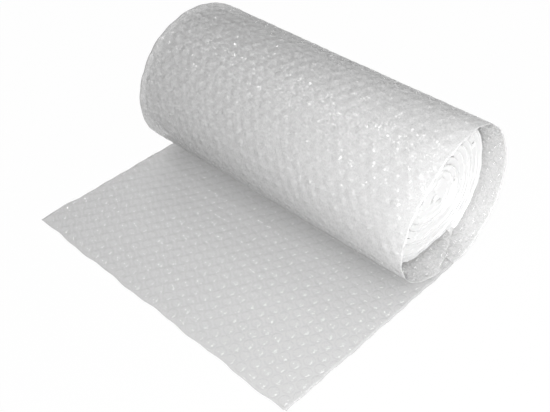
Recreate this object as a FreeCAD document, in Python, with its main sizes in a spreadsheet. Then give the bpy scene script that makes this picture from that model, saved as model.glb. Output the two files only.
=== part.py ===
import FreeCAD, Part
import math
import os

import Sketcher

# A roll of bubble wrap: one sheet of bubble film wound on itself with an open centre. The roll
# lies on its side and its free end runs out in front of it as a flat flap, bubbles up.
#
# Frame: X runs along the roll with X = 0 at the middle of its width, Y = 0 is under the middle of
# the roll with the flap towards -Y, and Z = 0 is the surface that the sheet lies on.

doc = FreeCAD.newDocument("bubble_wrap_roll")

# Driving dimensions, in millimetres
SIZES = [
    ("sheet_width", 300.0, "width of the sheet, along the roll"),
    ("flap_length", 195.0, "from under the middle of the roll to the front edge of the flap"),
    ("sheet_thickness", 4.0, "film and bubbles together"),
    ("film_thickness", 0.6, "flat film under the bubbles"),
    ("turn_gap", 1.8, "air between one turn and the next"),
    ("inner_bend", 0.3, "tightest bend of the film, at the inner end"),
    ("centre_height", 62.4, "height of the roll's widest line above the surface"),
    ("flat_behind", 7.4, "flat spot, part behind the middle of the roll"),
    ("flat_before", 13.4, "flat spot, part before the middle of the roll"),
    ("end_recess", 20.0, "how far the outer turn stands past the others at the right end"),
    ("bubble_pitch", 11.0, "from bubble to bubble across the sheet"),
    ("bubble_crown", 7.6, "flat width of a bubble's top"),
    ("bubble_margin", 0.5, "plain film between the bubbles and the sheet's cut edges"),
    ("nip_distance", 42.0, "from the middle of the roll to where the roll presses the bubbles flat"),
]

sizes = doc.addObject("Spreadsheet::Sheet", "sizes")
for row, (alias, value, meaning) in enumerate(SIZES, start=1):
    sizes.set(f"A{row}", alias)
    sizes.set(f"B{row}", str(value))
    sizes.set(f"C{row}", meaning)
    sizes.setAlias(f"B{row}", alias)
doc.recompute()


def vec(x, y, z=0.0):
    return FreeCAD.Vector(x, y, z)


def origin_plane(body, role):
    """One of the body's own origin planes."""
    return next(f for f in body.Origin.OriginFeatures if f.Role == role)


# The winding. Each turn is four tangent pieces: the flat spot, a quarter arc rising behind the
# roll, half a turn over the top and a quarter arc down the front, which ends one pitch higher than
# the flat spot began. So every turn lies one pitch inside the turn before it, all the way round.
# There are as many whole turns as fit, and a small hollow is left in the middle.

turn_pitch = sizes.sheet_thickness + sizes.turn_gap
half_flat = (sizes.flat_behind + sizes.flat_before) / 2
top_centre = (sizes.flat_behind - sizes.flat_before + turn_pitch) / 2
room_inside = sizes.centre_height - sizes.sheet_thickness - sizes.inner_bend
turns = int(room_inside / turn_pitch)


def arc(centre_y, radius, from_degrees, to_degrees):
    """An arc about a centre at the height of the roll's widest line, in a section sketch."""
    circle = Part.Circle(vec(centre_y, sizes.centre_height), vec(0, 0, 1), radius)
    return Part.ArcOfCircle(circle, math.radians(from_degrees), math.radians(to_degrees))


def turn_arcs(turn, depth):
    """The three arcs of one turn, on the surface that lies depth under the sheet's outer side."""
    inward = turn * turn_pitch + depth
    behind = sizes.centre_height - inward
    over = sizes.centre_height + half_flat - turn_pitch / 2 - inward
    before = behind - turn_pitch
    return [
        arc(sizes.flat_behind, behind, -90, 0),
        arc(top_centre, over, 0, 180),
        arc(-sizes.flat_before, before, 180, 270),
    ]


def flat_spot(turn, depth, start=None):
    """The straight bottom of one turn, from start (its front end unless given) to its back end."""
    height = turn * turn_pitch + depth
    front = -sizes.flat_before if start is None else start
    return Part.LineSegment(vec(front, height), vec(sizes.flat_behind, height))


def winding(depth):
    """One side of the wound sheet, from the nip to the inner end."""
    path = [flat_spot(0, depth, start=-sizes.nip_distance)]
    for turn in range(turns):
        path += turn_arcs(turn, depth)
        path.append(flat_spot(turn + 1, depth))
    return path


def joined(path_a, path_b):
    """Lines that close two paths into one outline, at their first and at their last points."""
    return [
        Part.LineSegment(path_a[0].StartPoint, path_b[0].StartPoint),
        Part.LineSegment(path_a[-1].EndPoint, path_b[-1].EndPoint),
    ]


def section_sketch(body, name, curves, offset):
    """A sketch across the roll, at the X position that the expression offset gives."""
    sketch = body.newObject("Sketcher::SketchObject", name)
    sketch.AttachmentSupport = [(origin_plane(body, "YZ_Plane"), "")]
    sketch.MapMode = "FlatFace"
    sketch.setExpression("AttachmentOffset.Base.z", offset)
    sketch.addGeometry(curves, False)
    for index in range(len(curves)):
        sketch.addConstraint(Sketcher.Constraint("Block", index))
    return sketch


# The wound sheet is its section, drawn as one closed outline and padded over the sheet's width

roll = doc.addObject("PartDesign::Body", "wound_sheet")
outer_side = winding(0)
inner_side = winding(sizes.sheet_thickness)
section = section_sketch(
    roll,
    "winding_section",
    outer_side + inner_side + joined(outer_side, inner_side),
    "-sizes.sheet_width / 2",
)
wound = roll.newObject("PartDesign::Pad", "wound_turns")
wound.Profile = section
wound.setExpression("Length", "sizes.sheet_width")
doc.recompute()
full_volume = wound.Shape.Volume

# The outer turn stands past the others at the right end. A pocket takes the ends of all the
# other turns back. Its outline runs in the gap round the second turn and crosses the sheet once,
# at the front of the flat spot, where the first turn ends.

gap_middle = sizes.sheet_thickness + sizes.turn_gap / 2
inside_first_turn = [flat_spot(0, gap_middle)] + turn_arcs(0, gap_middle)
crossing = Part.LineSegment(inside_first_turn[-1].EndPoint, inside_first_turn[0].StartPoint)
recess_outline = section_sketch(
    roll, "recess_outline", inside_first_turn + [crossing], "sizes.sheet_width / 2"
)
recess = roll.newObject("PartDesign::Pocket", "recessed_turns")
recess.Profile = recess_outline
recess.setExpression("Length", "sizes.end_recess")
roll.Tip = recess
doc.recompute()
if recess.Shape.Volume >= full_volume:
    raise RuntimeError("the recess at the roll's right end took nothing off")

# The flap's bubbles stand on a hexagonal lattice with rows along the roll. Each is a six-sided
# frustum whose foot fills its cell, so neighbours share their foot edges, and a margin of plain
# film goes round the whole field.

row_pitch = sizes.bubble_pitch * math.sqrt(3) / 2
foot_radius = sizes.bubble_pitch / math.sqrt(3)
crown_radius = sizes.bubble_crown / math.sqrt(3)
field_width = sizes.sheet_width - 2 * sizes.bubble_margin
field_length = sizes.flap_length - sizes.nip_distance - 2 * sizes.bubble_margin
bubbles_across = int(field_width / sizes.bubble_pitch)
bubble_rows = int((field_length - 2 * foot_radius) / row_pitch) + 1


def bubble_places():
    """Centres of the bubbles, row by row from the flap's front edge. Every other row has one less."""
    first_row = -sizes.flap_length + sizes.bubble_margin + foot_radius
    for row in range(bubble_rows):
        count = bubbles_across - row % 2
        for column in range(count):
            x = (column - (count - 1) / 2) * sizes.bubble_pitch
            yield x, first_row + row * row_pitch


def hexagon(x, y, z, radius):
    """The six corners of a hexagon with two corners in line with Y."""
    corners = [math.radians(90 + 60 * corner) for corner in range(6)]
    return [vec(x + radius * math.cos(a), y + radius * math.sin(a), z) for a in corners]


def polygon_face(points):
    return Part.Face(Part.makePolygon(points + points[:1]))


def flap_solid():
    """The flap from its front edge to the nip: flat film below, bubbles above."""
    left = -sizes.sheet_width / 2
    right = sizes.sheet_width / 2
    front = -sizes.flap_length
    back = -sizes.nip_distance
    film = Part.makeBox(right - left, back - front, sizes.film_thickness, vec(left, front, 0))
    faces = []
    feet = []
    for x, y in bubble_places():
        foot = hexagon(x, y, sizes.film_thickness, foot_radius)
        crown = hexagon(x, y, sizes.sheet_thickness, crown_radius)
        feet.append(polygon_face(foot))
        faces.append(polygon_face(crown))
        for a in range(6):
            b = (a + 1) % 6
            faces.append(polygon_face([foot[a], foot[b], crown[b], crown[a]]))
    field = feet[0].multiFuse(feet[1:]).removeSplitter()
    for face in film.Faces:
        faces_up = face.normalAt(0, 0).z > 0.5
        faces += face.cut(field).Faces if faces_up else [face]
    shell = Part.makeShell(faces)
    shell.sewShape()
    return Part.makeSolid(shell)


flap = doc.addObject("Part::Feature", "flap_bubbles")
flap.Shape = flap_solid()
flap.Placement = FreeCAD.Placement()

# The whole sheet in one piece, the flap welded to the wound part at the nip

sheet = doc.addObject("Part::Fuse", "bubble_wrap")
sheet.Label = "bubble_wrap"
sheet.Base = roll
sheet.Tool = flap
sheet.Refine = True
sheet.Placement = FreeCAD.Placement()
doc.recompute()

for item in doc.Objects:
    if "Invalid" in item.State or "Error" in item.State:
        raise RuntimeError(f"{item.Label} did not build: {item.State}")
for item in (roll, flap, sheet):
    if item.Shape.isNull() or not item.Shape.isValid() or len(item.Shape.Solids) != 1:
        raise RuntimeError(f"{item.Label} is not one valid solid")

os.makedirs("parts", exist_ok=True)
sheet.Shape.exportStep(f"parts/{sheet.Label}.step")
box = sheet.Shape.BoundBox
print(f"{sheet.Label}: {bubble_rows} rows of up to {bubbles_across} bubbles, {turns} turns")
print(f"size {box.XLength:.1f} x {box.YLength:.1f} x {box.ZLength:.1f} mm, {sheet.Shape.Volume / 1000:.0f} cm3")
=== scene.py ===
# %% [markdown]
# A roll of bubble wrap, its free end rolled out flat in front of it. The real thing is one sheet:
# a flat film with thousands of air bubbles welded to one side of it. On the flap the bubbles point
# up. In the roll they point inwards, so the roll's outside is the smooth film, seen through to the
# bubbles behind it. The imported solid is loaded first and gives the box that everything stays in.

# %% Load the frame
import math

import bmesh
import bpy
import numpy as np
from mathutils import Matrix, Vector


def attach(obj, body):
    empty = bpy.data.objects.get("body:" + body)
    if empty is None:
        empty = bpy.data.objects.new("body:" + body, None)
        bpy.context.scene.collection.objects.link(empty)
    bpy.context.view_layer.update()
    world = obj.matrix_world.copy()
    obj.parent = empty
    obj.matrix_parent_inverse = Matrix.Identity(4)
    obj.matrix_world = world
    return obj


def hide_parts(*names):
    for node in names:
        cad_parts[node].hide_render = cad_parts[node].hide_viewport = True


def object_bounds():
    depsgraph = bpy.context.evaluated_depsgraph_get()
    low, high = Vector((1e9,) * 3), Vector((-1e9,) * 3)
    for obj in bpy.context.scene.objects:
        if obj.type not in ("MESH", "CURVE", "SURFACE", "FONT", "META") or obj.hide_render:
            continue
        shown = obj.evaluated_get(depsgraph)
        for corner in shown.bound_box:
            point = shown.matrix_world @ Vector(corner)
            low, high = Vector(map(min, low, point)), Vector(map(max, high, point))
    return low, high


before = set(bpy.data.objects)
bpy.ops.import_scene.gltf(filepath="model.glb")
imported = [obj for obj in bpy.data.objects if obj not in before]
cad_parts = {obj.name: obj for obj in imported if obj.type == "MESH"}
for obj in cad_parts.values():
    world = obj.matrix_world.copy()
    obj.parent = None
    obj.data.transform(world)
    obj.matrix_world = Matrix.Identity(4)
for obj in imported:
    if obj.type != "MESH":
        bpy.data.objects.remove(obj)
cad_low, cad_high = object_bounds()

MM = 0.001
SHEET_WIDTH = cad_high.x - cad_low.x
HALF_WIDTH = SHEET_WIDTH / 2
FLAP_LENGTH = -cad_low.y
print(f"sheet {SHEET_WIDTH / MM:.0f} mm wide, flap {FLAP_LENGTH / MM:.0f} mm long")

# %% [markdown]
# The winding. Seen from the end, the film follows the same line as the solid: flat under the
# roll, a quarter circle up the back, half a circle over the top and a quarter circle down the
# front, which ends one pitch higher than it began, ready for the next turn. The line is sampled
# every half millimetre, and any place on the sheet is then found by its distance along it.

# %% Line of the wound sheet
TURN_PITCH = 5.8 * MM
CENTRE_HEIGHT = 62.4 * MM
FLAT_BEHIND = 7.4 * MM
FLAT_BEFORE = 13.4 * MM
TURNS = 10
LINE_STEP = 0.5 * MM

HALF_FLAT = (FLAT_BEHIND + FLAT_BEFORE) / 2
TOP_CENTRE = (FLAT_BEHIND - FLAT_BEFORE + TURN_PITCH) / 2


def straight(y0, y1, z):
    """Points on a flat stretch at height z, with the bubbles above it."""
    count = max(2, int((y1 - y0) / LINE_STEP))
    y = np.linspace(y0, y1, count, endpoint=False)
    return np.stack([y, np.full(count, z), np.zeros(count), np.ones(count)], axis=1)


def bend(centre_y, radius, from_degrees, to_degrees):
    """Points on an arc, each with the direction from it to the arc's centre."""
    angles = math.radians(to_degrees - from_degrees)
    count = max(3, int(radius * angles / LINE_STEP))
    a = np.radians(np.linspace(from_degrees, to_degrees, count, endpoint=False))
    y = centre_y + radius * np.cos(a)
    z = CENTRE_HEIGHT + radius * np.sin(a)
    return np.stack([y, z, -np.cos(a), -np.sin(a)], axis=1)


def winding_line():
    """The flat side of the film as rows of y, z and the direction towards the bubbles."""
    pieces = [straight(-FLAP_LENGTH, FLAT_BEHIND, 0.0)]
    for turn in range(TURNS):
        inward = turn * TURN_PITCH
        behind = CENTRE_HEIGHT - inward
        over = CENTRE_HEIGHT + HALF_FLAT - TURN_PITCH / 2 - inward
        pieces.append(bend(FLAT_BEHIND, behind, -90, 0))
        pieces.append(bend(TOP_CENTRE, over, 0, 180))
        pieces.append(bend(-FLAT_BEFORE, behind - TURN_PITCH, 180, 270))
        pieces.append(straight(-FLAT_BEFORE, FLAT_BEHIND, inward + TURN_PITCH))
    return np.concatenate(pieces), [len(p) for p in pieces]


line, piece_sizes = winding_line()
steps = np.hypot(np.diff(line[:, 0]), np.diff(line[:, 1]))
along = np.concatenate([[0.0], np.cumsum(steps)])
piece_ends = np.cumsum(piece_sizes)
flap_end = along[piece_ends[0] - 1]
turn_ends = [along[piece_ends[4 * turn] - 1] for turn in range(1, TURNS + 1)]
sheet_length = along[-1]
print(f"{TURNS} turns, sheet {sheet_length:.2f} m long, the flap's part ends at {flap_end / MM:.0f} mm")

# %% [markdown]
# A soft roll is never a true cylinder. In the photograph the far end has slumped: it is wider than
# high and bulges low down at the front. The near end is flattened on its upper front and fuller at
# the top. Each of these is a smooth bulge with a direction, a spread and an amount, and they
# blend from one end of the roll to the other and fade towards the middle of the turns.

# %% Slump of the roll
# direction in degrees from straight down towards the back, spread in degrees, amount
LEFT_BULGES = [(97, 42, 3.9 * MM), (178, 45, -1.8 * MM), (305, 42, 3.6 * MM)]
RIGHT_BULGES = [(98, 38, -4.2 * MM), (162, 26, 3.4 * MM), (223, 34, -5.4 * MM), (325, 20, -1.2 * MM)]
ROLL_RADIUS = 70 * MM
SLUMP_START = 30 * MM


def bulge(degrees, bulges):
    """How far the bulges push the film out in each direction from the roll's middle."""
    total = np.zeros_like(degrees)
    for direction, spread, amount in bulges:
        off = (degrees - direction + 180) % 360 - 180
        total += amount * np.exp(-((off / spread) ** 2))
    return total


def slumped(x, y, z, v):
    """Moves points of the roll in or out from its middle as the soft roll has sunk."""
    angle = np.degrees(np.arctan2(y, CENTRE_HEIGHT - z))
    reach = np.hypot(y, z - CENTRE_HEIGHT)
    share = np.clip((x + HALF_WIDTH) / SHEET_WIDTH, 0, 1)
    amount = bulge(angle, LEFT_BULGES) * (1 - share) + bulge(angle, RIGHT_BULGES) * share
    wound = np.clip((v - flap_end) / SLUMP_START, 0, 1)
    grow = 1 + amount * wound * (reach / ROLL_RADIUS) / np.maximum(reach, MM)
    return y * grow, CENTRE_HEIGHT + (z - CENTRE_HEIGHT) * grow


print(f"{len(LEFT_BULGES)} bulges at the left end, {len(RIGHT_BULGES)} at the right end")

# %% [markdown]
# The free flap doesn't lie dead flat either. The film lifts off the table by less than a
# millimetre in long waves. Three slow sine waves, across, along and aslant, are enough for that.

# %% Waves of the flap
FLAP_LIFT = 0.9 * MM
LIFT_END = FLAP_LENGTH - 60 * MM
WAVE_ACROSS = 23 * MM
WAVE_ALONG = 19 * MM
WAVE_ASLANT = 31 * MM


def flap_lift(x, v):
    """Height of the flap's waves, none where the roll lies on it."""
    free = np.clip(1 - v / LIFT_END, 0, 1)
    wave = np.sin(x / WAVE_ACROSS + 1.3) * np.sin(v / WAVE_ALONG + 0.4) + np.sin((x + 2 * v) / WAVE_ASLANT)
    return FLAP_LIFT * free * np.clip(0.35 + 0.4 * wave, 0, 1)


some_x, some_v = np.meshgrid(np.linspace(-HALF_WIDTH, HALF_WIDTH, 60), np.linspace(0, LIFT_END, 60))
print(f"the flap lifts by up to {flap_lift(some_x, some_v).max() / MM:.1f} mm")

# %% [markdown]
# A knife cuts the sheet to width, but soft film never ends in a straight line. The edges wander by
# half a millimetre, one spot of the left edge stands out, the turns drift sideways against one
# another, and from the second turn on the right edge is set back, so the outer turn stands proud.

# %% Edges of the sheet
EDGE_INSET = 0.6 * MM
EDGE_WANDER = 0.5 * MM
RECESS = 20 * MM
TURN_DRIFT = 1.1 * MM
STEP_LENGTH = 45 * MM
BUMP_PLACE = 27 * MM
BUMP_SPREAD = 9 * MM
BUMP_SIZE = 1.2 * MM


def wander(v, phase):
    """The small unevenness of a cut edge, from two waves of different length."""
    return EDGE_WANDER * (
        0.6 * np.sin(v / (3.1 * MM) + phase) + 0.5 * np.sin(v / (7.7 * MM) + 2 * phase)
    )


def left_edge(v):
    bump = BUMP_SIZE * np.exp(-(((v - BUMP_PLACE) / BUMP_SPREAD) ** 2))
    drift = TURN_DRIFT * np.sin(v / (140 * MM)) * np.clip((v - turn_ends[0]) / STEP_LENGTH, 0, 1)
    return -HALF_WIDTH + EDGE_INSET + wander(v, 0.7) - bump + drift


def right_edge(v):
    """Full width in the flap and the first turn, set back from the second turn on."""
    inside = np.clip((v - (turn_ends[0] - FLAT_BEHIND - FLAT_BEFORE)) / STEP_LENGTH, 0, 1)
    drift = TURN_DRIFT * np.sin(v / (97 * MM) + 1.0) * inside
    return HALF_WIDTH - EDGE_INSET + wander(v, 2.1) - RECESS * inside + drift


def front_edge(x):
    """How far the front edge runs back from the sheet's end."""
    return 0.6 * MM * (1 + np.sin(x / (11 * MM) + 0.5)) + 0.35 * MM * (1 + np.sin(x / (4.1 * MM)))


print(f"right edge at {right_edge(0.0) / MM:.1f} mm in front, {right_edge(sheet_length) / MM:.1f} mm inmost")

# %% [markdown]
# Bubbles sit on a hexagonal lattice: rows along the roll, every other row shifted by half a
# pitch. Where a turn of the roll is pulled tight round the ones inside, the flat film swells a
# little over each bubble and draws in between them, which is what breaks up the shine.

# %% The bubble lattice
BUBBLE_PITCH = 11.0 * MM
ROW_PITCH = BUBBLE_PITCH * math.sqrt(3) / 2
BUBBLE_RADIUS = 4.9 * MM
BUBBLE_HEIGHT = 3.8 * MM
FIRST_ROW = 6.85 * MM
COLUMNS = int(SHEET_WIDTH / BUBBLE_PITCH) + 1
print(f"rows {ROW_PITCH / MM:.2f} mm apart, {COLUMNS} places in each")

# %% [markdown]
# The quilting is a smooth swelling over each place of the lattice. It could be a Displace modifier,
# but as a plain function of the place on the sheet it also moves the bubbles' feet with the film.
# How far each one swells and which way it leans is random, and the same in each run.

# %% Quilting of the film
QUILT = 0.5 * MM
QUILT_REACH = BUBBLE_PITCH * 0.36
QUILT_LEAN = 0.06


def scatter(row, column, salt):
    """A fixed random share, 0 to 1, for each bubble: the digits far down in a sine."""
    value = np.sin(row * 12.9898 + column * 78.233 + salt * 37.719) * 43758.5453
    return value - np.floor(value)


def quilt(x, v):
    """How far the film stands out over the bubbles: each one swells and leans a little its own way."""
    height = np.zeros(np.broadcast(x, v).shape)
    middle_row = np.round((v - FIRST_ROW) / ROW_PITCH)
    for row in (middle_row - 1, middle_row, middle_row + 1):
        shift = ((row + 1) % 2) * BUBBLE_PITCH / 2 - (COLUMNS - 1) / 2 * BUBBLE_PITCH
        column = np.round((x - shift) / BUBBLE_PITCH)
        dx = x - shift - column * BUBBLE_PITCH
        dv = v - FIRST_ROW - row * ROW_PITCH
        reach = np.hypot(dx, dv) / QUILT_REACH
        swell = QUILT * (0.35 + 0.9 * scatter(row, column, 1))
        lean = QUILT_LEAN * ((scatter(row, column, 2) - 0.5) * dx + (scatter(row, column, 3) - 0.5) * dv)
        height += (swell + lean) * np.exp(-(reach**2))
    return height


# %% [markdown]
# Now the parts come together: a place on the flat sheet goes onto the winding line, is raised by
# its height above the film and the quilting, sinks with the soft roll and lifts with the flap.

# %% From the flat sheet to the roll
def sheet_point(x, v, h):
    """Place on the object of a point x across, v along and h above the sheet's flat side."""
    y = np.interp(v, along, line[:, 0])
    z = np.interp(v, along, line[:, 1])
    ny = np.interp(v, along, line[:, 2])
    nz = np.interp(v, along, line[:, 3])
    wound = np.clip((v - flap_end) / SLUMP_START, 0, 1)
    h = h + QUILT - quilt(x, v) * wound
    y = y + h * ny
    z = z + h * nz
    y, z = slumped(x, y, z, v)
    return np.stack([x, y, z + flap_lift(x, v)], axis=-1)


top = sheet_point(0.0, (flap_end + turn_ends[0]) / 2, 0.0)
print(f"half way round the outer turn the film is {top[2] / MM:.0f} mm above the table")

# %% [markdown]
# The film's grid is laid out on the flat sheet first: so far across, x, and so far along, v. The
# places between its two wandering edges are then put on the object, and every piece keeps the flat
# place of each of its points as the UV map "sheet", which the creases and the bubbles are set by.

# %% A piece and its places on the sheet
FRONT_BLEND = 20 * MM


def new_piece(name, mesh):
    """An object for the mesh, linked to the scene."""
    piece = bpy.data.objects.new(name, mesh)
    bpy.context.scene.collection.objects.link(piece)
    return piece


def film_places(v_places, u_shares):
    """A grid of places on the sheet. Shares run from its left edge, 0, to its right edge, 1."""
    v, share = np.meshgrid(v_places, u_shares, indexing="ij")
    x = left_edge(v) * (1 - share) + right_edge(v) * share
    front = np.clip(1 - v / FRONT_BLEND, 0, 1)
    return x, v + front_edge(x) * front


def set_sheet_uv(mesh, x, v):
    """Keeps each point's flat place, in metres, as the UV map "sheet"."""
    layer = mesh.uv_layers.new(name="sheet")
    corners = np.empty(len(mesh.loops), dtype=np.int64)
    mesh.loops.foreach_get("vertex_index", corners)
    layer.uv.foreach_set("vector", np.stack([x[corners], v[corners]], axis=1).astype(np.float32).ravel())
    mesh.shade_smooth()


# %% [markdown]
# Real film is about 0.05 mm thin. Here it is a closed skin of 0.2 mm, so it has a flat side, a
# bubble side and a narrow cut edge, all facing outwards, and can be seen through from both sides.
# The cut edge is shaded flat, or the shine would bend round it.

# %% Film as a closed skin
SKIN = 0.2 * MM


def film_shell(name, v_places, u_shares):
    """The film between two places along the sheet, from one cut edge to the other."""
    x, v = film_places(v_places, u_shares)
    outer = sheet_point(x, v, 0.0)
    inner = sheet_point(x, v, SKIN)
    rows, columns = x.shape
    size = rows * columns
    index = np.arange(size).reshape(rows, columns)
    a, b, c, d = index[:-1, :-1], index[:-1, 1:], index[1:, 1:], index[1:, :-1]
    flat_side = np.stack([a, d, c, b], axis=-1).reshape(-1, 4)
    bubble_side = np.stack([a, b, c, d], axis=-1).reshape(-1, 4) + size
    loop = np.concatenate([index[0, :-1], index[:-1, -1], index[-1, :0:-1], index[:0:-1, 0]])
    after = np.roll(loop, -1)
    rim = np.stack([loop, after, after + size, loop + size], axis=-1)
    faces = np.concatenate([flat_side, bubble_side, rim])
    points = np.concatenate([outer.reshape(-1, 3), inner.reshape(-1, 3)])
    mesh = bpy.data.meshes.new(name)
    mesh.from_pydata(points.tolist(), [], faces.tolist())
    set_sheet_uv(mesh, np.tile(x.ravel(), 2), np.tile(v.ravel(), 2))
    for cut_face in mesh.polygons[2 * len(flat_side):]:
        cut_face.use_smooth = False
    return new_piece(name, mesh)


# %% [markdown]
# A second, plain surface serves only to find places by. It is the film's flat side without the cut
# edges, a little wider than the sheet, so that bubbles on the edges have a place too.

# %% Film to set the bubbles by
def film_surface(name, v_places, u_shares):
    """The film's flat side alone, facing the bubbles."""
    v, share = np.meshgrid(v_places, u_shares, indexing="ij")
    x = (2 * share - 1) * (HALF_WIDTH + BUBBLE_PITCH / 4)
    points = sheet_point(x, v, 0.0)
    rows, columns = x.shape
    index = np.arange(rows * columns).reshape(rows, columns)
    quads = np.stack([index[:-1, :-1], index[:-1, 1:], index[1:, 1:], index[1:, :-1]], axis=-1)
    mesh = bpy.data.meshes.new(name)
    mesh.from_pydata(points.reshape(-1, 3).tolist(), [], quads.reshape(-1, 4).tolist())
    set_sheet_uv(mesh, x.ravel(), v.ravel())
    return new_piece(name, mesh)


# %% [markdown]
# Bubble templates. A bubble is a short cylinder of thin film with a rounded shoulder and a nearly
# flat top. Inside the outer turn it is a plainer dome, and where the turns are packed its sides
# bulge. No two are alike, as the film dents when the roll is handled. So each kind is a profile
# spun round its axis, with small seeded dents, and six variants turned at random are enough to
# make every glint different.

# %% Bubble templates
BUBBLE_PROFILE = [(1.0, 0.0), (0.96, 0.42), (0.84, 0.7), (0.58, 0.86), (0.3, 0.97)]
WOUND_PROFILE = [(1.0, 0.0), (0.92, 0.55), (0.6, 0.87), (0.3, 0.98)]
PACKED_PROFILE = [(1.0, 0.0), (1.06, 0.5), (1.03, 0.96), (0.6, 1.0)]
VARIANTS = 6
FIRST_SEED = 11
LEAN = 0.05
DENT = 0.055
DENT_LOW = 0.6


def bubble_template(name, segments, profile, seed):
    """A unit bubble: radius 1, height 1, open underneath where it is welded to the film."""
    random = np.random.default_rng(seed)
    angles = np.radians(np.linspace(0, 360, segments, endpoint=False))
    lean = random.normal(0, LEAN, 2)
    points = []
    for radius, height in profile:
        for a in angles:
            dent = random.normal(0, DENT) * height
            x = radius * math.cos(a)
            y = radius * math.sin(a)
            points.append((x, y, height + dent * DENT_LOW + height * (lean[0] * x + lean[1] * y)))
    points.append((0, 0, 1 + random.normal(0, DENT)))
    faces = []
    for ring in range(len(profile) - 1):
        low = ring * segments
        high = low + segments
        for i in range(segments):
            j = (i + 1) % segments
            faces.append((low + i, low + j, high + j, high + i))
    last = (len(profile) - 1) * segments
    for i in range(segments):
        faces.append((last + i, last + (i + 1) % segments, len(points) - 1))
    mesh = bpy.data.meshes.new(name)
    mesh.from_pydata(points, [], faces)
    mesh.shade_smooth()
    return bpy.data.objects.new(name, mesh)


def template_set(name, segments, profile):
    """A collection with the variants of one kind of bubble, for the tree to pick from."""
    collection = bpy.data.collections.new(name)
    for variant in range(VARIANTS):
        seed = FIRST_SEED + variant
        collection.objects.link(bubble_template(f"{name}_{variant}", segments, profile, seed))
    return collection


whole_bubbles = template_set("whole_bubble", 12, BUBBLE_PROFILE)
wound_bubbles = template_set("wound_bubble", 10, WOUND_PROFILE)
packed_bubbles = template_set("packed_bubble", 10, PACKED_PROFILE)

# %% [markdown]
# Both the bubbles' tree and the materials are node trees, so a few short ways to add, set and link
# nodes come first.

# %% Adding and linking nodes
class Wiring:
    """Short ways to build one node tree."""

    def __init__(self, tree):
        self.tree = tree

    def node(self, kind, **settings):
        made = self.tree.nodes.new(kind)
        for key, value in settings.items():
            setattr(made, key, value)
        return made

    def feed(self, socket, value):
        """Links another node's socket to this one, or sets its plain value."""
        if isinstance(value, bpy.types.NodeSocket):
            self.tree.links.new(value, socket)
        else:
            socket.default_value = value

    def math(self, operation, a, b=None, c=None):
        made = self.node("ShaderNodeMath", operation=operation)
        for socket, value in zip(made.inputs, (a, b, c)):
            if value is not None:
                self.feed(socket, value)
        return made.outputs[0]

    def vector(self, x, y, z):
        made = self.node("ShaderNodeCombineXYZ")
        for socket, value in zip(made.inputs, (x, y, z)):
            self.feed(socket, value)
        return made.outputs[0]


# %% [markdown]
# Geometry Nodes set the bubbles. The tree makes one point for each place of the lattice, in the
# sheet's own flat measure, and finds that place on the curved film through the film's UVs. So the
# same tree serves the flat flap and the wound turns. Its inputs say which film, which bubbles, how
# many rows of them, how large they are and of which material.

# %% Inputs of the bubble tree
set_bubbles = bpy.data.node_groups.new("set_bubbles", "GeometryNodeTree")
set_bubbles.interface.new_socket("Geometry", in_out="OUTPUT", socket_type="NodeSocketGeometry")
bubble_inputs = {}
for key, title, kind, default in (
    ("film", "Film", "NodeSocketObject", None),
    ("bubbles", "Bubbles", "NodeSocketCollection", None),
    ("columns", "Columns", "NodeSocketInt", COLUMNS),
    ("first_row", "First Row", "NodeSocketInt", 0),
    ("rows", "Rows", "NodeSocketInt", 10),
    ("pitch", "Pitch", "NodeSocketFloat", BUBBLE_PITCH),
    ("start", "Start", "NodeSocketFloat", FIRST_ROW),
    ("radius", "Radius", "NodeSocketFloat", BUBBLE_RADIUS),
    ("height", "Height", "NodeSocketFloat", BUBBLE_HEIGHT),
    ("spread", "Height Spread", "NodeSocketFloat", 0.12),
    ("keep_outside", "Keep Outside", "NodeSocketFloat", 0.0),
    ("seed", "Seed", "NodeSocketInt", 3),
    ("material", "Material", "NodeSocketMaterial", None),
):
    socket = set_bubbles.interface.new_socket(title, in_out="INPUT", socket_type=kind)
    if default is not None:
        socket.default_value = default
    bubble_inputs[key] = socket.identifier
w = Wiring(set_bubbles)
given = w.node("NodeGroupInput").outputs
print(f"tree {set_bubbles.name} with {len(bubble_inputs)} inputs")

# %% [markdown]
# First the lattice, flat. A point's number gives its row and its column, and every other row is
# shifted by half a pitch, as the drum that forms the bubbles has them.

# %% Lattice on the flat sheet
index = w.node("GeometryNodeInputIndex").outputs[0]
row = w.math("ADD", w.math("FLOOR", w.math("DIVIDE", index, given["Columns"])), given["First Row"])
column = w.math("FLOORED_MODULO", index, given["Columns"])
odd = w.math("FLOORED_MODULO", w.math("ADD", row, 1.0), 2.0)
half_span = w.math("DIVIDE", w.math("SUBTRACT", given["Columns"], 1.0), 2.0)
across = w.math("ADD", w.math("SUBTRACT", column, half_span), w.math("MULTIPLY", odd, 0.5))
row_distance = w.math("MULTIPLY", given["Pitch"], math.sqrt(3) / 2)
lattice_x = w.math("MULTIPLY", across, given["Pitch"])
lattice_v = w.math("MULTIPLY_ADD", row, row_distance, given["Start"])
points = w.node("GeometryNodePoints")
w.feed(points.inputs["Count"], w.math("MULTIPLY", given["Columns"], given["Rows"]))
w.feed(points.inputs["Position"], w.vector(lattice_x, lattice_v, 0.0))
flat_place = w.node("GeometryNodeInputPosition").outputs[0]

# %% [markdown]
# Then the same places on the wound film: the film's point and the way it faces, where its UV map
# has the flat place.

# %% Looking the places up on the film
film_info = w.node("GeometryNodeObjectInfo", transform_space="ORIGINAL")
w.feed(film_info.inputs["Object"], given["Film"])
sheet_map = w.node("GeometryNodeInputNamedAttribute", data_type="FLOAT_VECTOR")
sheet_map.inputs["Name"].default_value = "sheet"


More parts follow.
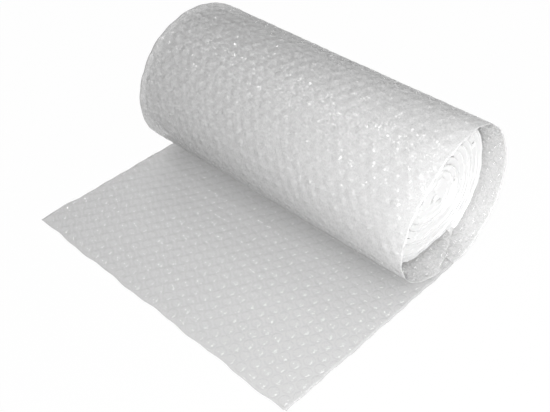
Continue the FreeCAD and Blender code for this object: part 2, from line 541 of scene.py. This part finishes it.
def looked_up(value):
    made = w.node("GeometryNodeSampleUVSurface", data_type="FLOAT_VECTOR")
    w.feed(made.inputs["Mesh"], film_info.outputs["Geometry"])
    w.feed(made.inputs["Value"], value)
    w.feed(made.inputs["UV Map"], sheet_map.outputs["Attribute"])
    w.feed(made.inputs["Sample UV"], flat_place)
    return made.outputs


film_point = looked_up(w.node("GeometryNodeInputPosition").outputs[0])
film_facing = looked_up(w.node("GeometryNodeInputNormal").outputs[0])

# %% [markdown]
# Places beside the film are dropped. So are those deep inside the roll, which nobody can see: the
# inner turns keep only the bubbles near their two ends. The direction of the film is stored on the
# points before they move, for the bubbles to stand square on it and for their material.

# %% Points kept and moved onto the film
flat_axes = w.node("ShaderNodeSeparateXYZ")
w.feed(flat_axes.inputs[0], flat_place)
near_end = w.node("FunctionNodeCompare", data_type="FLOAT", operation="GREATER_EQUAL")
w.feed(near_end.inputs[0], w.math("ABSOLUTE", flat_axes.outputs["X"]))
w.feed(near_end.inputs[1], given["Keep Outside"])
refused = w.node("FunctionNodeBooleanMath", operation="NAND")
w.feed(refused.inputs[0], film_point["Is Valid"])
w.feed(refused.inputs[1], near_end.outputs[0])
stored = w.node("GeometryNodeStoreNamedAttribute", data_type="FLOAT_VECTOR", domain="POINT")
stored.inputs["Name"].default_value = "facing"
w.feed(stored.inputs["Geometry"], points.outputs[0])
w.feed(stored.inputs["Value"], film_facing["Value"])
dropped = w.node("GeometryNodeDeleteGeometry", domain="POINT")
w.feed(dropped.inputs["Geometry"], stored.outputs[0])
w.feed(dropped.inputs["Selection"], refused.outputs[0])
moved = w.node("GeometryNodeSetPosition")
w.feed(moved.inputs["Geometry"], dropped.outputs[0])
w.feed(moved.inputs["Position"], film_point["Value"])

# %% [markdown]
# Last the bubbles: a random variant on each point, turned at random round the film's normal and a
# little taller or flatter than the next one, all joined into one mesh of one material.

# %% Bubbles on the points
def random_value(kind, low, high, salt):
    made = w.node("FunctionNodeRandomValue", data_type=kind)
    low_socket = {"FLOAT": 2, "INT": 4}[kind]
    made.inputs[low_socket].default_value = low
    made.inputs[low_socket + 1].default_value = high
    w.feed(made.inputs["Seed"], w.math("ADD", given["Seed"], salt))
    return made.outputs[{"FLOAT": 1, "INT": 2}[kind]]


facing_read = w.node("GeometryNodeInputNamedAttribute", data_type="FLOAT_VECTOR")
facing_read.inputs["Name"].default_value = "facing"
upright = w.node("FunctionNodeAlignRotationToVector", axis="Z")
w.feed(upright.inputs["Vector"], facing_read.outputs["Attribute"])
turned = w.node("FunctionNodeRotateRotation", rotation_space="LOCAL")
w.feed(turned.inputs["Rotation"], upright.outputs["Rotation"])
w.feed(turned.inputs["Rotate By"], w.vector(0.0, 0.0, random_value("FLOAT", 0.0, math.tau, 1.0)))
less = w.math("MULTIPLY", given["Height Spread"], random_value("FLOAT", 0.0, 1.0, 2.0))
tall = w.math("MULTIPLY", given["Height"], w.math("SUBTRACT", 1.0, less))
variants = w.node("GeometryNodeCollectionInfo", transform_space="ORIGINAL")
variants.inputs["Separate Children"].default_value = True
variants.inputs["Reset Children"].default_value = True
w.feed(variants.inputs["Collection"], given["Bubbles"])
placed = w.node("GeometryNodeInstanceOnPoints")
placed.inputs["Pick Instance"].default_value = True
w.feed(placed.inputs["Points"], moved.outputs[0])
w.feed(placed.inputs["Instance"], variants.outputs[0])
w.feed(placed.inputs["Instance Index"], random_value("INT", 0, VARIANTS - 1, 3.0))
w.feed(placed.inputs["Rotation"], turned.outputs["Rotation"])
w.feed(placed.inputs["Scale"], w.vector(given["Radius"], given["Radius"], tall))
joined = w.node("GeometryNodeRealizeInstances")
w.feed(joined.inputs["Geometry"], placed.outputs[0])
painted = w.node("GeometryNodeSetMaterial")
w.feed(painted.inputs["Geometry"], joined.outputs[0])
w.feed(painted.inputs["Material"], given["Material"])
w.feed(w.node("NodeGroupOutput").inputs[0], painted.outputs[0])
print(f"tree {set_bubbles.name} with {len(set_bubbles.nodes)} nodes")

# %% [markdown]
# The tree is run once for each piece, and only its result stays, as a plain mesh with a single
# material.

# %% Running the tree
def grow_bubbles(name, **values):
    host = new_piece(name + "_host", bpy.data.meshes.new(name + "_host"))
    modifier = host.modifiers.new("bubbles", "NODES")
    modifier.node_group = set_bubbles
    for key, value in values.items():
        modifier[bubble_inputs[key]] = value
    bpy.context.view_layer.update()
    evaluated = host.evaluated_get(bpy.context.evaluated_depsgraph_get())
    mesh = bpy.data.meshes.new_from_object(evaluated)
    mesh.name = name
    mesh.materials.clear()
    mesh.materials.append(values["material"])
    mesh.polygons.foreach_set("material_index", np.zeros(len(mesh.polygons), dtype=np.int32))
    host.modifiers.remove(modifier)
    bpy.data.objects.remove(host)
    print(f"{name}: {len(mesh.polygons)} faces")
    return new_piece(name, mesh)


# %% [markdown]
# The film itself. Polythene film is clear, yet one layer already looks a little hazy, and many
# behind one another look white. Real transmission through ten turns would be slow and noisy, so
# the haze is a grey surface that lets part of the light straight through, by its alpha, and the
# gloss is a clear coat over it with an index high enough for the sparks of real film.

# %% Film material
FILM_IOR = 1.5


def plain_film(name, grey, alpha, gloss=0.4, coat=1.0, coat_ior=2.2, coat_roughness=0.07):
    """Clear glossy polythene film, hazy from the layers behind it, before any unevenness."""
    material = bpy.data.materials.new(name)
    material.use_nodes = True
    surface = material.node_tree.nodes["Principled BSDF"]
    surface.inputs["Base Color"].default_value = (grey, grey, grey, 1)
    surface.inputs["Alpha"].default_value = alpha
    surface.inputs["IOR"].default_value = FILM_IOR
    surface.inputs["Roughness"].default_value = gloss
    surface.inputs["Coat Weight"].default_value = coat
    surface.inputs["Coat IOR"].default_value = coat_ior
    surface.inputs["Coat Roughness"].default_value = coat_roughness
    return material, surface, Wiring(material.node_tree)


# %% [markdown]
# Creases, flecks and the shine over the bubbles belong to the sheet, not to the room, so their
# patterns are laid out on the UV map "sheet". Noise gives what is random. The domes repeat what
# the bubbles do to the film: each place of the lattice has a soft rise of its own.

# %% Patterns on the flat sheet
def sheet_noise(w, across, along_sheet):
    """Uneven noise laid on the flat sheet, with its grain across and along the sheet."""
    place = w.node("ShaderNodeVectorMath", operation="MULTIPLY")
    w.feed(place.inputs[0], w.node("ShaderNodeUVMap", uv_map="sheet").outputs[0])
    place.inputs[1].default_value = (1 / across, 1 / along_sheet, 0.0)
    noise = w.node("ShaderNodeTexNoise")
    w.feed(noise.inputs["Vector"], place.outputs[0])
    noise.inputs["Scale"].default_value = 1.0
    noise.inputs["Detail"].default_value = 1.5
    noise.inputs["Distortion"].default_value = 1.2
    return noise.outputs[0]


def lattice_domes(w, width):
    """A soft dome of height 1 over each bubble of the lattice, by the place on the flat sheet."""
    place = w.node("ShaderNodeSeparateXYZ")
    w.feed(place.inputs[0], w.node("ShaderNodeUVMap", uv_map="sheet").outputs[0])
    domes = []
    for shift, first in ((0.0, FIRST_ROW), (0.5, FIRST_ROW + ROW_PITCH)):
        column = w.math("SUBTRACT", w.math("DIVIDE", place.outputs["X"], BUBBLE_PITCH), shift)
        row = w.math("DIVIDE", w.math("SUBTRACT", place.outputs["Y"], first), 2 * ROW_PITCH)
        dx = w.math("MULTIPLY", w.math("WRAP", column, 0.5, -0.5), BUBBLE_PITCH / width)
        dv = w.math("MULTIPLY", w.math("WRAP", row, 0.5, -0.5), 2 * ROW_PITCH / width)
        reach = w.math("ADD", w.math("MULTIPLY", dx, dx), w.math("MULTIPLY", dv, dv))
        domes.append(w.math("EXPONENT", w.math("MULTIPLY", reach, -1.0)))
    return w.math("ADD", domes[0], domes[1])


def ramp(w, value, low, high, to_low, to_high):
    """Maps the range from low to high onto the range from to_low to to_high."""
    made = w.node("ShaderNodeMapRange")
    for index, given in enumerate((value, low, high, to_low, to_high)):
        w.feed(made.inputs[index], given)
    return made.outputs[0]


# %% [markdown]
# Clear film hardly shades a bubble's dome: what lies under it shows through, and only the gloss
# traces its form, as one sharp glint. So a bubble's haze is lit as the flat film under it is, by
# the film's own direction, which the tree kept as an attribute, and only the coat follows the
# dome. In the same way the creases of the flat film turn its coat and leave its haze even.

# %% Gloss and haze lit apart
FLAT_LIT = 0.95


def crease_coat(w, surface, noise, depth):
    """Creases turn the gloss alone, not the haze under it."""
    bump = w.node("ShaderNodeBump")
    bump.inputs["Distance"].default_value = depth
    w.feed(bump.inputs["Height"], noise)
    w.feed(surface.inputs["Coat Normal"], bump.outputs[0])


def light_as_film(w, surface):
    """Lights a bubble's haze by the direction of the film it stands on."""
    film_way = w.node("ShaderNodeAttribute", attribute_name="facing").outputs["Vector"]
    lit_way = w.node("ShaderNodeMix", data_type="VECTOR")
    lit_way.inputs["Factor"].default_value = FLAT_LIT
    w.feed(lit_way.inputs[4], w.node("ShaderNodeNewGeometry").outputs["Normal"])
    w.feed(lit_way.inputs[5], film_way)
    w.feed(surface.inputs["Normal"], lit_way.outputs[1])


# %% [markdown]
# The flap is one layer of film over a white table: half clear, slightly grey, with bubbles that
# are almost nothing but glints.

# %% Film and bubbles of the flap
flap_film, surface, w = plain_film("flap_film", 0.66, 0.5, coat=0.8)
crease_coat(w, surface, sheet_noise(w, 3.0 * MM, 3.0 * MM), 0.7 * MM)

flap_bubble_film, surface, w = plain_film(
    "flap_bubble_film", 0.95, 0.08, coat_ior=3.4, coat_roughness=0.05
)
light_as_film(w, surface)
print(f"{flap_film.name}: {len(flap_film.node_tree.nodes)} nodes")

# %% [markdown]
# The outer turn is hazier, from the layers behind it, and it is where most of the look is. The
# domes turn its coat over every bubble, fuller here and flatter there. Flecks vary the grey, and
# the coat is strong only over the bubbles and on the flecks, so the shine breaks up into glints.

# %% Film and bubbles of the outer turn
DOME_WIDTH = 2.5 * MM
DOME_GLOSS = 0.8

roll_film, surface, w = plain_film("roll_film", 0.86, 0.68, gloss=0.5, coat_ior=3.0, coat_roughness=0.2)
domes = lattice_domes(w, DOME_WIDTH)
fullness = ramp(w, sheet_noise(w, 9.0 * MM, 9.0 * MM), 0.35, 0.65, 0.4, 1.4)
creases = sheet_noise(w, 4.0 * MM, 4.0 * MM)
crease_coat(w, surface, w.math("MULTIPLY_ADD", domes, fullness, creases), 1.0 * MM)
flecks = sheet_noise(w, 1.7 * MM, 2.3 * MM)
grey = ramp(w, flecks, 0.4, 0.6, 0.82, 0.88)
w.feed(surface.inputs["Base Color"], w.vector(grey, grey, grey))
speckled = ramp(w, flecks, 0.48, 0.56, 0.0, 1.0)
glossy_share = w.math("MULTIPLY_ADD", domes, DOME_GLOSS, speckled)
w.feed(surface.inputs["Coat Weight"], w.math("MINIMUM", glossy_share, 1.0))

wound_bubble_film, surface, w = plain_film(
    "wound_bubble_film", 0.95, 0.13, coat_ior=3.0, coat_roughness=0.05
)
light_as_film(w, surface)
print(f"{roll_film.name}: {len(roll_film.node_tree.nodes)} nodes")

# %% [markdown]
# Of the inner turns only the ends show. So many layers lie there that the film is plain and pale
# and lets nothing through, which also keeps the render quick.

# %% Film and bubbles of the inner turns
inner_film, surface, w = plain_film("inner_film", 0.8, 1.0)
crease_coat(w, surface, sheet_noise(w, 3.0 * MM, 3.0 * MM), 0.2 * MM)

inner_bubble_film, surface, w = plain_film("inner_bubble_film", 0.79, 1.0, coat=0.3)
print(f"{inner_film.name}: {len(inner_film.node_tree.nodes)} nodes")

# %% [markdown]
# The sheet's film in three pieces. The flap is loose and needs no quilting. The outer turn carries
# the quilted shine and has the finest grid. Of the inner turns only the ends show, so their grid is
# fine there and wide in between.

# %% Film pieces
END_DEPTH = 22 * MM
OUTER_OVERLAP = 25 * MM


def even(start, stop, step):
    """Evenly spaced values from start to stop, about a step apart."""
    return np.linspace(start, stop, max(2, round((stop - start) / step) + 1))


end_share = END_DEPTH / SHEET_WIDTH
inner_shares = np.concatenate([
    even(0, end_share, end_share / 10),
    even(end_share, 1 - end_share, 0.09)[1:-1],
    even(1 - end_share, 1, end_share / 10),
])
first_turn_end = turn_ends[0] + OUTER_OVERLAP
flap_places = even(0, flap_end, 2.4 * MM), even(0, 1, 1 / (COLUMNS * 4))
outer_places = even(flap_end, first_turn_end, ROW_PITCH / 5), even(0, 1, 1 / (COLUMNS * 6))
inner_places = even(first_turn_end, sheet_length, 4.5 * MM), inner_shares
flap_piece = film_shell("flap_film", *flap_places)
outer_piece = film_shell("outer_turn_film", *outer_places)
inner_piece = film_shell("inner_turns_film", *inner_places)
for piece, material in ((flap_piece, flap_film), (outer_piece, roll_film), (inner_piece, inner_film)):
    piece.data.materials.append(material)
    print(f"{piece.name}: {len(piece.data.polygons)} faces")

# %% [markdown]
# The bubbles in four pieces: whole round ones on the flap, plainer ones inside the outer turn, and
# bulging ones pressed together in the inner turns. The inmost are taller, as they have the small
# hollow in the middle to themselves and close it.

# %% Bubbles on the film
INMOST_HEIGHT = 13.0 * MM
PACKED_RADIUS = 6.5 * MM
PACKED_SPREAD = 0.04
ENDS_ONLY = 105 * MM
BARE_FLAP = 18 * MM


def row_at(v):
    """The first row of bubbles past the distance v along the sheet."""
    return math.ceil((v - FIRST_ROW) / ROW_PITCH)


guide = film_surface("bubble_guide", even(0, sheet_length, 3.0 * MM), even(0, 1, 1 / (COLUMNS * 2)))
flap_rows = row_at(FLAP_LENGTH - BARE_FLAP)
turn_row = row_at(first_turn_end)
inmost_row = row_at(turn_ends[-2])
last_row = row_at(sheet_length) - 1
flap_bubbles = grow_bubbles(
    "flap_bubbles", film=guide, bubbles=whole_bubbles, first_row=0, rows=flap_rows,
    material=flap_bubble_film, seed=5,
)
outer_bubbles = grow_bubbles(
    "outer_turn_bubbles", film=guide, bubbles=wound_bubbles, first_row=flap_rows,
    rows=turn_row - flap_rows, material=wound_bubble_film, seed=7,
)
inner_bubbles = grow_bubbles(
    "inner_turns_bubbles", film=guide, bubbles=packed_bubbles, first_row=turn_row,
    rows=inmost_row - turn_row, height=TURN_PITCH, spread=PACKED_SPREAD, radius=PACKED_RADIUS,
    keep_outside=ENDS_ONLY, material=inner_bubble_film, seed=9,
)
inmost_bubbles = grow_bubbles(
    "inmost_bubbles", film=guide, bubbles=packed_bubbles, first_row=inmost_row,
    rows=last_row - inmost_row, height=INMOST_HEIGHT, radius=PACKED_RADIUS,
    keep_outside=ENDS_ONLY, material=inner_bubble_film, seed=13,
)
bpy.data.objects.remove(guide)

# %% [markdown]
# The sheet is cut to width without regard to the bubbles, so the knife goes through some. On the
# flap and the outer turn they stay open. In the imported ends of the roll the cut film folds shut,
# so each cut bubble gets a face there, some a little deeper than others.

# %% Closing a cut bubble
CUT_UNEVEN = 0.8 * MM


def chains(edges):
    """The cut line of each bubble as its vertices in order."""
    links = {}
    for edge in edges:
        for vertex, other in (edge.verts, reversed(edge.verts)):
            links.setdefault(vertex, []).append(other)
    unused = set(links)
    for start in sorted(links, key=lambda vertex: (len(links[vertex]), vertex.index)):
        if start not in unused:
            continue
        chain = []
        following = [start]
        while following:
            chain.append(following[0])
            unused.discard(following[0])
            following = [vertex for vertex in links[chain[-1]] if vertex in unused]
        yield chain


def close_bubble(work, chain, way, depth):
    """A face across the cut, facing out of the roll's end and pushed in by depth."""
    face = work.faces.new(chain)
    face.smooth = False
    face.normal_update()
    if face.normal.x * way < 0:
        face.normal_flip()
    for vertex in chain:
        vertex.co.x -= way * depth


# %% [markdown]
# The cut is a plane at each edge of the sheet, a little inside the film's own wandering edge, so
# that no bubble hangs over it. What lies beyond the plane goes.

# %% Cutting the bubbles at the sheet's edges
EDGE_IN = 1.6 * MM


def cut_at_edges(piece, low_x, high_x, closed=False):
    """Cuts a piece's bubbles off at both edges, and closes the cut ones where asked."""
    work = bmesh.new()
    work.from_mesh(piece.data)
    random = np.random.default_rng(4)
    for x, way in ((low_x, -1), (high_x, 1)):
        everything = work.verts[:] + work.edges[:] + work.faces[:]
        cut = bmesh.ops.bisect_plane(
            work, geom=everything, plane_co=(x, 0, 0), plane_no=(way, 0, 0), clear_outer=True
        )
        work.verts.index_update()
        lines = [item for item in cut["geom_cut"] if isinstance(item, bmesh.types.BMEdge)]
        if closed:
            for chain in chains(lines):
                if len(chain) > 2:
                    close_bubble(work, chain, way, CUT_UNEVEN * random.random())
    work.to_mesh(piece.data)
    work.free()
    print(f"{piece.name}: {len(piece.data.polygons)} faces after the cut")


left_cut = -HALF_WIDTH + EDGE_IN
right_cut = HALF_WIDTH - EDGE_IN
cut_at_edges(flap_bubbles, left_cut, right_cut)
cut_at_edges(outer_bubbles, left_cut, right_cut)
cut_at_edges(inner_bubbles, left_cut, right_cut - RECESS, closed=True)
cut_at_edges(inmost_bubbles, left_cut, right_cut - RECESS, closed=True)

# %% [markdown]
# All of it is one welded sheet that doesn't move, so every piece rides the one body, is of its one
# material, and together they stand in for the solid.

# %% Ride and replace
dressed = [flap_piece, outer_piece, inner_piece, flap_bubbles, outer_bubbles, inner_bubbles, inmost_bubbles]
for piece in dressed:
    triangles = sum(len(face.vertices) - 2 for face in piece.data.polygons)
    print(f"{piece.name}: {triangles} triangles")
    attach(piece, "root")
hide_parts("bubble_wrap")

# %% [markdown]
# The studio. The photograph is taken on white with hardly a shadow. Floor and world are therefore
# white to the camera, and to the film's reflections, which would otherwise turn the bubbles' edges
# dark. Light Path tells those rays from the rest.

# %% White to camera and reflections
def white_when_seen(w, usual, white, share=1.0):
    """The white shader for what the camera and the reflections see, the usual one for the rest."""
    path = w.node("ShaderNodeLightPath").outputs
    seen = w.math("MAXIMUM", path["Is Camera Ray"], path["Is Glossy Ray"])
    mix = w.node("ShaderNodeMixShader")
    w.feed(mix.inputs[0], w.math("MULTIPLY", seen, share))
    w.feed(mix.inputs[1], usual)
    w.feed(mix.inputs[2], white)
    return mix.outputs[0]


# %% [markdown]
# All other light meets a plain pale floor, and a small share of it shows to the camera too, which
# keeps a trace of the object's shadow. The floor lies just under the film, so that they don't
# share a plane.

# %% Floor
FLOOR_HALF = 3.0
FLOOR_DROP = 0.3 * MM
FLOOR_WHITE = 0.985

corners = [(-1, -1), (1, -1), (1, 1), (-1, 1)]
floor_points = [(x * FLOOR_HALF, y * FLOOR_HALF, -FLOOR_DROP) for x, y in corners]
floor_mesh = bpy.data.meshes.new("floor")
floor_mesh.from_pydata(floor_points, [], [(0, 1, 2, 3)])
floor = new_piece("floor", floor_mesh)
floor_material = bpy.data.materials.new("studio_floor")
floor_material.use_nodes = True
w = Wiring(floor_material.node_tree)
paint = floor_material.node_tree.nodes["Principled BSDF"]
paint.inputs["Base Color"].default_value = (0.92, 0.92, 0.92, 1)
paint.inputs["Roughness"].default_value = 0.9
glow = w.node("ShaderNodeEmission")
glow.inputs["Color"].default_value = (1, 1, 1, 1)
glow.inputs["Strength"].default_value = 1.0
shown = white_when_seen(w, paint.outputs[0], glow.outputs[0], FLOOR_WHITE)
w.feed(floor_material.node_tree.nodes["Material Output"].inputs["Surface"], shown)
floor_mesh.materials.append(floor_material)
print(f"floor {2 * FLOOR_HALF:.0f} m wide, {FLOOR_DROP / MM:.1f} mm under the film")

# %% [markdown]
# The world is a faint even light from everywhere, which fills the shade between the lamps, and it
# too is plain white where the camera or a reflection sees it.

# %% World
AMBIENT = 0.13

world = bpy.data.worlds.new("studio")
bpy.context.scene.world = world
world.use_nodes = True
w = Wiring(world.node_tree)
ambient = world.node_tree.nodes["Background"]
ambient.inputs["Color"].default_value = (1, 1, 1, 1)
ambient.inputs["Strength"].default_value = AMBIENT
white = w.node("ShaderNodeBackground")
white.inputs["Color"].default_value = (1, 1, 1, 1)
white.inputs["Strength"].default_value = 1.0
sky = white_when_seen(w, ambient.outputs[0], white.outputs[0])
w.feed(world.node_tree.nodes["World Output"].inputs["Surface"], sky)
print(f"ambient light {AMBIENT:.2f}")

# %% [markdown]
# In the photograph the right end is the brightest and the roll darkens to the left, so the main
# softbox stands beside the right end. A small one high up on the left puts glints on the roll's
# top and on the flap's bubbles. A weak one high behind the right end lifts the top, and a low one
# in front lights the roll's front down to where it meets the flap.

# %% Lamps
def softbox(name, place, target, size, power):
    """A rectangular lamp at a place, turned towards a target. Size in metres, power in watts."""
    data = bpy.data.lights.new(name, "AREA")
    data.shape = "RECTANGLE"
    data.size, data.size_y = size
    data.energy = power
    lamp = bpy.data.objects.new(name, data)
    bpy.context.scene.collection.objects.link(lamp)
    lamp.location = place
    lamp.rotation_mode = "QUATERNION"
    lamp.rotation_quaternion = (Vector(target) - Vector(place)).to_track_quat("-Z", "Y")
    print(f"{name}: {power} W")


softbox("overhead_softbox", (-0.42, -0.17, 1.00), (0.0, -0.06, 0.05), (0.12, 0.12), 0.8)
softbox("right_softbox", (0.46, -0.24, 0.38), (0.06, -0.07, 0.04), (0.34, 0.34), 2.5)
softbox("back_softbox", (0.40, 0.20, 0.70), (0.05, 0.0, 0.1), (0.3, 0.3), 0.8)
softbox("front_softbox", (0.50, -0.62, 0.13), (0.05, -0.05, 0.05), (0.4, 0.2), 1.35)

# %% [markdown]
# The camera of the photograph was found from the outline of the roll and the flap: where it
# stands, how it is turned, and its focal length in pixels of the 550 pixel wide picture.

# %% Camera
FOCAL_PX = 865.64
FRAME_WIDTH_PX = 550
SENSOR = 36.0
CAMERA_PLACE = Vector((0.4078, -0.4512, 0.5040))
CAMERA_YAW = -0.794
CAMERA_PITCH = 0.710
CAMERA_ROLL = -0.0353

look = Vector((
    math.sin(CAMERA_YAW) * math.cos(CAMERA_PITCH),
    math.cos(CAMERA_YAW) * math.cos(CAMERA_PITCH),
    -math.sin(CAMERA_PITCH),
))
level = Vector((math.cos(CAMERA_YAW), -math.sin(CAMERA_YAW), 0))
above = level.cross(look)
right = math.cos(CAMERA_ROLL) * level + math.sin(CAMERA_ROLL) * above
up = -math.sin(CAMERA_ROLL) * level + math.cos(CAMERA_ROLL) * above
camera_data = bpy.data.cameras.new("camera")
camera_data.sensor_width = SENSOR
camera_data.lens = FOCAL_PX / FRAME_WIDTH_PX * SENSOR
camera = bpy.data.objects.new("camera", camera_data)
bpy.context.scene.collection.objects.link(camera)
camera.matrix_world = Matrix.Translation(CAMERA_PLACE) @ Matrix((right, up, -look)).transposed().to_4x4()
bpy.context.scene.camera = camera
bpy.context.scene.view_settings.view_transform = "Standard"
print(f"camera with a lens of {camera_data.lens:.1f} mm")
